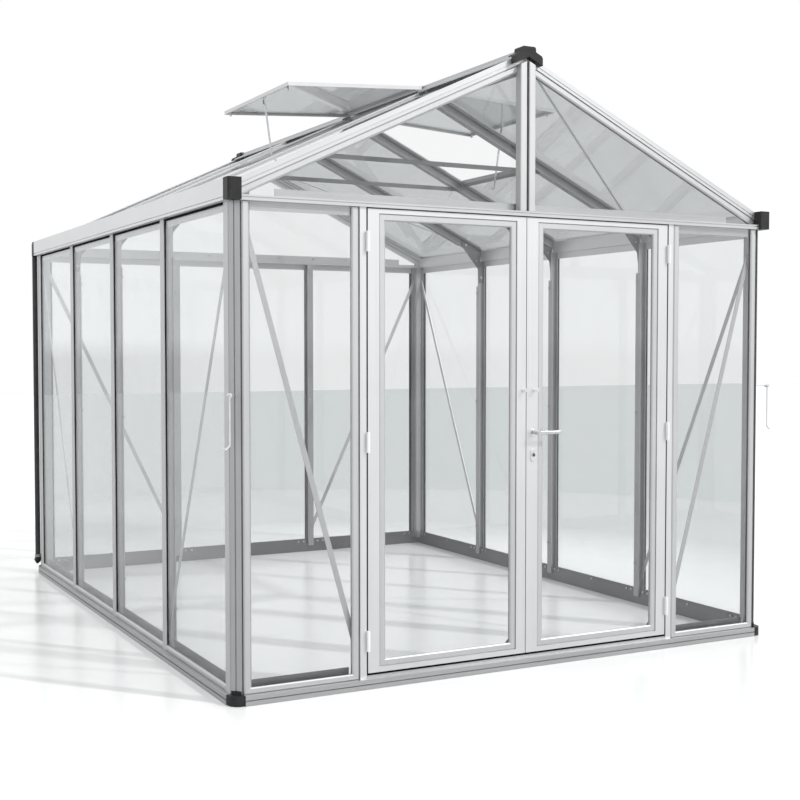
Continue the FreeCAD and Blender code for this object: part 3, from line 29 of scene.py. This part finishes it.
MATT_START, MATT_STOP = 2.6, 5.0      # the floor's reflections fade between these, seen through a pane

# ---- tones -----------------------------------------------------------------------------------
FLOOR_WHITE = ((0.90, 0.90, 0.90), (0.92, 0.92, 0.92))
# floor seen through a pane: painted tones, a touch paler than its white near the house and darkened
# with painted shade further out
FLOOR_BEHIND_GLASS = ((0.94, 0.948, 0.95), (0.55, 0.565, 0.572))
FLOOR_BOUNCE = ((0.50, 0.50, 0.50), (0.53, 0.53, 0.53))
ROOM_TONES = ((0.0, 0.50), (0.40, 0.56), (0.497, 0.64), (0.503, 0.98), (0.75, 1.06), (1.0, 1.06))
ROOM_TINT = (1.0, 1.005, 1.01)

# ---- light and camera, angles in degrees -----------------------------------------------------
SUN_AZIMUTH = -50.0
SUN_ELEVATION = 38.0
SUN_STRENGTH = 1.6
SUN_ANGLE = 2.0
CAMERA_PLACE = (-2.749, -5.6705, 1.239)
CAMERA_TILT = 87.695
CAMERA_TURN = -27.894
CAMERA_LENS = 57.70                   # millimetres, on a sensor SENSOR_WIDTH wide
SENSOR_WIDTH = 36.0
VIEW_RANGE = 200.0
MOST_PANES_IN_A_ROW = 32


# ---- node tree helpers -----------------------------------------------------------------------
class Tree:
    """A short way to add and join the shader nodes of a material or a world."""

    def __init__(self, owner):
        owner.use_nodes = True
        self.owner = owner
        self.tree = owner.node_tree
        self.tree.nodes.clear()

    def add(self, kind, inputs=None, **settings):
        """Adds a node; each input is a value or another node's output socket."""
        node = self.tree.nodes.new("ShaderNode" + kind)
        for key, value in settings.items():
            setattr(node, key, value)
        for key, value in (inputs or {}).items():
            socket = node.inputs[key]
            if isinstance(value, bpy.types.NodeSocket):
                self.tree.links.new(value, socket)
            else:
                socket.default_value = value
        return node

    def math(self, operation, first, second=0.5):
        """One step of arithmetic or comparison."""
        return self.add("Math", {0: first, 1: second}, operation=operation).outputs[0]

    def position(self):
        """Position in the object's own frame, which is the row frame for every CAD node."""
        return self.add("TexCoord").outputs["Object"]

    def noise(self, vector, scale, detail):
        """Cloudy noise around 0.5."""
        inputs = {"Vector": vector, "Scale": scale, "Detail": detail, "Roughness": 0.55}
        return self.add("TexNoise", inputs).outputs["Fac"]

    def stretch(self, vector, factors):
        """Scales each axis by its own factor."""
        return self.add("VectorMath", {0: vector, 1: factors}, operation="MULTIPLY").outputs[0]

    def spread(self, value, low, high, start=0.0, stop=1.0):
        """Maps a value from start..stop to low..high."""
        node = self.add("MapRange", {"Value": value, "From Min": start, "From Max": stop,
                                     "To Min": low, "To Max": high})
        return node.outputs["Result"]

    def mix(self, factor, first, second):
        """A colour between two others, each a colour with alpha or an output socket."""
        return self.add("Mix", {0: factor, 6: first, 7: second}, data_type="RGBA").outputs[2]

    def shades(self, factor, dark, light):
        """A colour between two plain tones."""
        return self.mix(factor, (*dark, 1.0), (*light, 1.0))

    def camera_ray(self):
        """1 for the camera's own rays, however many panes they have passed, 0 for all others."""
        return self.add("LightPath").outputs["Is Camera Ray"]

    def behind_glass(self):
        """1 where a ray has come through at least one pane, 0 elsewhere."""
        return self.math("GREATER_THAN", self.add("LightPath").outputs["Transparent Depth"])

    def output(self, surface):
        """Ends the tree with its surface, and gives back the material or world."""
        kind = "OutputWorld" if isinstance(self.owner, bpy.types.World) else "OutputMaterial"
        self.add(kind, {"Surface": surface})
        return self.owner


def material_tree(name):
    """The empty tree of a new material."""
    return Tree(bpy.data.materials.new(name))


def grain_position(tree, grain):
    """Coordinates whose first axis runs along the extrusion."""
    x, y, z = tree.add("SeparateXYZ", {0: tree.position()}).outputs
    if grain == "upright":
        return tree.add("CombineXYZ", {0: z, 1: x, 2: y}).outputs[0]
    if grain == "level":
        along = tree.math("ADD", x, y)
        return tree.add("CombineXYZ", {0: along, 1: z, 2: z}).outputs[0]
    across = tree.math("ABSOLUTE", x)
    run = tree.math("MULTIPLY", across, math.cos(ROOF_SLOPE))
    drop = tree.math("MULTIPLY", z, -math.sin(ROOF_SLOPE))
    rise = tree.math("MULTIPLY", across, math.sin(ROOF_SLOPE))
    lift = tree.math("MULTIPLY", z, math.cos(ROOF_SLOPE))
    along = tree.math("ADD", run, drop)
    outward = tree.math("ADD", rise, lift)
    return tree.add("CombineXYZ", {0: along, 1: y, 2: outward}).outputs[0]


# ---- materials -------------------------------------------------------------------------------
def aluminium(name, grain, dark, light, rough=(0.34, 0.48), shaded=1.0):
    """Satin anodised extrusion with die lines along its length and faint cloudiness.

    shaded is a painted shade: it dims the colour where the part is seen through a pane, standing in
    for the lower light inside the house.
    """
    t = material_tree(name)
    lines = t.noise(t.stretch(grain_position(t, grain), (1.2, 420.0, 420.0)), 1.0, 3.0)
    cloud = t.noise(t.position(), 3.5, 5.0)
    specks = t.noise(t.position(), 260.0, 2.0)
    tone = t.math("ADD", t.spread(lines, 0.0, 0.6, 0.3, 0.7), t.spread(cloud, 0.0, 0.4, 0.3, 0.7))
    colour = t.shades(tone, dark, light)
    # painted shade: the colour is scaled down where the part is seen through a pane
    if shaded < 1.0:
        factor = t.spread(t.behind_glass(), 1.0, shaded)
        colour = t.add("VectorMath", {0: colour, "Scale": factor}, operation="SCALE").outputs[0]
    line_shine = t.spread(lines, *rough, 0.25, 0.75)
    shine = t.math("ADD", line_shine, t.spread(specks, -0.03, 0.03))
    bump = t.add("Bump", {"Height": lines, "Strength": 0.10, "Distance": 0.0004})
    shader = t.add("BsdfPrincipled", {"Base Color": colour, "Metallic": 0.85, "Roughness": shine,
                                      "Normal": bump.outputs[0], "IOR": 1.5})
    return t.output(shader.outputs[0])


def plated(name, dark, light, rough=(0.22, 0.34), scale=40.0):
    """Plated or polished metal with soft blotches."""
    t = material_tree(name)
    place = t.position()
    blotch = t.noise(place, scale, 4.0)
    fine = t.noise(place, scale * 22, 2.0)
    colour = t.shades(t.spread(blotch, 0.0, 1.0, 0.3, 0.7), dark, light)
    blotch_shine = t.spread(blotch, *rough, 0.3, 0.7)
    shine = t.math("ADD", blotch_shine, t.spread(fine, -0.03, 0.03))
    bump = t.add("Bump", {"Height": fine, "Strength": 0.06, "Distance": 0.0003})
    shader = t.add("BsdfPrincipled", {"Base Color": colour, "Metallic": 1.0, "Roughness": shine,
                                      "Normal": bump.outputs[0]})
    return t.output(shader.outputs[0])


def moulded(name, dark, light, rough=(0.42, 0.55), scale=900.0, strength=0.25, sheen=0.5,
            roof_tone=None):
    """Moulded plastic or rubber with a fine texture and faint scuffs.

    roof_tone, if given, is a paler colour that takes over above the eaves.
    """
    t = material_tree(name)
    place = t.position()
    scuff = t.noise(place, 18.0, 6.0)
    fine = t.noise(place, scale, 2.0)
    colour = t.shades(t.spread(scuff, 0.0, 1.0, 0.35, 0.7), dark, light)
    if roof_tone is not None:
        height = t.add("SeparateXYZ", {0: place}).outputs["Z"]
        colour = t.mix(t.math("GREATER_THAN", height, EAVES_HEIGHT), colour, (*roof_tone, 1.0))
    bump = t.add("Bump", {"Height": fine, "Strength": strength, "Distance": 0.0003})
    shader = t.add("BsdfPrincipled", {"Base Color": colour,
                                      "Roughness": t.spread(scuff, *rough, 0.3, 0.7),
                                      "Specular IOR Level": sheen, "Normal": bump.outputs[0]})
    return t.output(shader.outputs[0])


def pane_glass(name, tint=(0.958, 0.963, 0.963), passing=0.93, haze=0.02):
    """Thin clear sheet with a little dust, which mirrors more at a glance.

    The camera sees through it in this tint; passing is how much light it lets into the house.
    """
    t = material_tree(name)
    place = t.position()
    waves = t.noise(place, 1.6, 2.0)
    film = t.noise(place, 5.0, 6.0)
    bump = t.add("Bump", {"Height": waves, "Strength": 0.05, "Distance": 0.01})
    through = t.shades(t.camera_ray(), (passing, passing, passing), tint)
    clear = t.add("BsdfTransparent", {"Color": through})
    mirror = t.add("BsdfGlossy", {"Color": (0.96, 0.98, 0.98, 1.0),
                                  "Roughness": t.spread(film, 0.01, 0.05),
                                  "Normal": bump.outputs[0]})
    glance = t.add("LayerWeight", {"Blend": 0.5}).outputs["Facing"]
    facing = t.spread(t.math("POWER", glance, 5.0), 0.04, 1.0)
    sheet = t.add("MixShader", {0: facing, 1: clear.outputs[0], 2: mirror.outputs[0]})
    dust = t.add("BsdfDiffuse", {"Color": (0.85, 0.87, 0.87, 1.0)})
    share = t.spread(film, 0.0, haze, 0.35, 0.8)
    whole = t.add("MixShader", {0: share, 1: sheet.outputs[0], 2: dust.outputs[0]})
    return t.output(whole.outputs[0])


def assign(material, *names):
    """Gives the named CAD nodes this material."""
    for name in names:
        for slot in NODES[name].material_slots:
            slot.link = "OBJECT"
            slot.material = material


# One anodised aluminium in lighter and darker copies: the tone differences between parts are partly
# painted light and shade, darker for the corner, level and inner parts, toned down against sun glare
# for braces and beads, and paler for the gutters.
UPRIGHT = aluminium("aluminium_upright", "upright", (0.74, 0.745, 0.75), (0.83, 0.835, 0.84))
CORNER = aluminium("aluminium_corner", "upright", (0.42, 0.425, 0.43), (0.52, 0.525, 0.53))
HEADER = aluminium("aluminium_header", "level", (0.58, 0.585, 0.59), (0.68, 0.685, 0.69))
BRACE = aluminium("aluminium_brace", "upright", (0.58, 0.585, 0.59), (0.66, 0.665, 0.67),
                  rough=(0.46, 0.6))
# Level parts: a darker copy, with painted shade that dims them further where they are seen through a
# pane.
LEVEL = aluminium("aluminium_level", "level", (0.46, 0.465, 0.47), (0.56, 0.565, 0.57),
                  shaded=0.42)
GUTTER = aluminium("aluminium_gutter", "level", (0.72, 0.725, 0.73), (0.82, 0.825, 0.83))
SLOPED = aluminium("aluminium_sloped", "slope", (0.64, 0.645, 0.65), (0.72, 0.725, 0.73))
# Inner parts: painted shade for the inside of the house, a darker copy for the upright ones, and
# dimmed wherever they are seen through a pane.
INNER_UPRIGHT = aluminium("aluminium_inner_upright", "upright", (0.50, 0.505, 0.51),
                          (0.60, 0.605, 0.61), shaded=0.85)
INNER_SLOPED = aluminium("aluminium_inner_sloped", "slope", (0.62, 0.625, 0.63),
                         (0.70, 0.705, 0.71), shaded=0.47)
BEAD_UPRIGHT = aluminium("bead_upright", "upright", (0.57, 0.575, 0.58), (0.67, 0.67, 0.67),
                         rough=(0.46, 0.58))
BLACK = moulded("black_moulding", (0.014, 0.014, 0.015), (0.028, 0.028, 0.029), sheen=0.35)
RUBBER = moulded("gasket_rubber", (0.006, 0.006, 0.006), (0.014, 0.014, 0.014),
                 rough=(0.7, 0.85), sheen=0.08, roof_tone=(0.55, 0.555, 0.56))
PIPE = moulded("pipe_plastic", (0.02, 0.02, 0.022), (0.045, 0.045, 0.047), rough=(0.38, 0.5))
CLIP = moulded("clip_plastic", (0.30, 0.30, 0.30), (0.42, 0.42, 0.42))
WHITE = moulded("hinge_plastic", (0.90, 0.90, 0.89), (0.96, 0.96, 0.95),
                rough=(0.28, 0.36), scale=500.0, strength=0.08)
ZINC = plated("zinc_steel", (0.50, 0.51, 0.53), (0.66, 0.67, 0.69))
BRIGHT = plated("bright_steel", (0.80, 0.81, 0.82), (0.92, 0.93, 0.94), rough=(0.16, 0.26))
SATIN = plated("satin_nickel", (0.58, 0.58, 0.58), (0.70, 0.70, 0.70), rough=(0.26, 0.38))
CHROME = plated("lock_chrome", (0.80, 0.80, 0.81), (0.92, 0.92, 0.93), rough=(0.08, 0.16))
CORE = plated("lock_core", (0.14, 0.14, 0.14), (0.24, 0.24, 0.23), rough=(0.2, 0.3))
GLASS = pane_glass("sheet_glass")
ROOF_SHEET = pane_glass("roof_sheet", tint=(0.775, 0.78, 0.785), passing=0.86, haze=0.06)

assign(UPRIGHT, "door_posts", "door_frame_left", "door_frame_right")
assign(CORNER, "corner_posts")
assign(HEADER, "headers")
assign(BRACE, "braces")
assign(LEVEL, "base_rails", "ridge_beam", "door_sill", "tie_bars", "knee_brackets", "vent_sills")
assign(GUTTER, "gutters")
assign(SLOPED, "gable_rafters", "vent_frame_left", "vent_frame_right")
assign(INNER_UPRIGHT, "gable_posts", "wall_bars")
assign(INNER_SLOPED, "roof_bars")
assign(BEAD_UPRIGHT, "glazing_beads", "glazing_caps", "door_beads_left", "door_beads_right")
assign(BLACK, "corner_feet", "end_caps", "downpipe_ends")
assign(CLIP, "downpipe_clip")
assign(PIPE, "downpipe")
assign(RUBBER, "glazing_gaskets")
assign(WHITE, "door_hinges_left", "door_hinges_right", "post_hinges")
assign(ZINC, "frame_bolts", "vent_stay_left", "vent_stay_right", "vent_hinge_rods", "strike_plate",
       "shoot_bolt_top", "shoot_bolt_bottom", "door_gussets_left", "door_gussets_right", "lock_case")
assign(BRIGHT, "cabin_hook_left", "cabin_hook_right", "hook_eyes", "door_peg_left", "door_peg_right")
assign(SATIN, "lever_handle", "latch_bolt")
assign(CHROME, "lock_plates", "lock_cylinder")
assign(CORE, "cylinder_plug")
assign(GLASS, "wall_glass", "gable_glass", "door_glass_left", "door_glass_right")
assign(ROOF_SHEET, "roof_glass", "vent_glass_left", "vent_glass_right")


# ---- stage -----------------------------------------------------------------------------------
def floor_material():
    """White to the camera, greyed with painted shade through the panes, and grey in the light it
    throws back.
    """
    t = material_tree("studio_floor")
    spots = t.noise(t.position(), 6.0, 5.0)
    behind = t.behind_glass()
    away = t.add("VectorMath", {0: t.position()}, operation="LENGTH").outputs["Value"]
    white = t.shades(spots, *FLOOR_WHITE)
    # painted tones through a pane: a touch paler than the floor's white near the house, darkened with
    # painted shade further out
    dim = t.shades(t.spread(away, 0.0, 1.0, INSIDE_REACH, OUTSIDE_REACH), *FLOOR_BEHIND_GLASS)
    grey = t.shades(spots, *FLOOR_BOUNCE)
    colour = t.mix(t.camera_ray(), grey, t.mix(behind, white, dim))
    matt = t.math("MULTIPLY", behind, t.spread(away, 0.3, 1.0, MATT_START, MATT_STOP))
    shader = t.add("BsdfPrincipled", {"Base Color": colour, "Roughness": t.spread(spots, 0.16, 0.24),
                                      "Specular IOR Level": t.spread(matt, 0.35, 0.0)})
    return t.output(shader.outputs[0])


def studio_floor():
    """Large square floor just under the feet."""
    half = FLOOR_HALF
    mesh = bpy.data.meshes.new("studio_floor")
    corners = [(-half, -half, 0), (half, -half, 0), (half, half, 0), (-half, half, 0)]
    mesh.from_pydata(corners, [], [(0, 1, 2, 3)])
    mesh.materials.append(floor_material())
    floor = bpy.data.objects.new("studio_floor", mesh)
    floor.location.z = -FLOOR_DROP
    bpy.context.scene.collection.objects.link(floor)


def studio_world():
    """White room: the camera sees white, and polished things see a soft grey band below eye level."""
    world = bpy.data.worlds.new("studio")
    bpy.context.scene.world = world
    t = Tree(world)
    direction = t.add("TexCoord").outputs["Generated"]
    height = t.add("SeparateXYZ", {0: direction}).outputs["Z"]
    ramp = t.add("ValToRGB", {0: t.spread(height, 0.0, 1.0, -1.0, 1.0)})
    stops = ramp.color_ramp.elements
    while len(stops) < len(ROOM_TONES):
        stops.new(0.5)
    for stop, (position, tone) in zip(stops, ROOM_TONES):
        stop.position = position
        stop.color = (*(tone * tint for tint in ROOM_TINT), 1.0)
    room = t.add("Background", {"Color": ramp.outputs[0]})
    white = t.add("Background", {"Color": (1.0, 1.0, 1.0, 1.0)})
    either = t.add("MixShader", {0: t.camera_ray(), 1: room.outputs[0], 2: white.outputs[0]})
    t.output(either.outputs[0])


def sun(name, azimuth, elevation, strength, angle):
    """A sun lamp that stands at this azimuth and elevation; angle is how wide it looks."""
    data = bpy.data.lights.new(name, "SUN")
    data.energy = strength
    data.angle = math.radians(angle)
    lamp = bpy.data.objects.new(name, data)
    a, e = math.radians(azimuth), math.radians(elevation)
    towards = Vector((math.cos(e) * math.cos(a), math.cos(e) * math.sin(a), math.sin(e)))
    lamp.rotation_euler = towards.to_track_quat("Z", "Y").to_euler()
    bpy.context.scene.collection.objects.link(lamp)


def camera():
    """The main view: the door gable from its left, at chest height."""
    data = bpy.data.cameras.new("camera")
    data.lens = CAMERA_LENS
    data.sensor_width = SENSOR_WIDTH
    data.clip_end = VIEW_RANGE
    cam = bpy.data.objects.new("camera", data)
    cam.location = CAMERA_PLACE
    cam.rotation_euler = Euler((math.radians(CAMERA_TILT), 0.0, math.radians(CAMERA_TURN)))
    bpy.context.scene.collection.objects.link(cam)
    bpy.context.scene.camera = cam


studio_floor()
studio_world()
sun("key", SUN_AZIMUTH, SUN_ELEVATION, SUN_STRENGTH, SUN_ANGLE)
camera()
bpy.context.scene.view_settings.view_transform = "Standard"
bpy.context.scene.cycles.transparent_max_bounces = MOST_PANES_IN_A_ROW
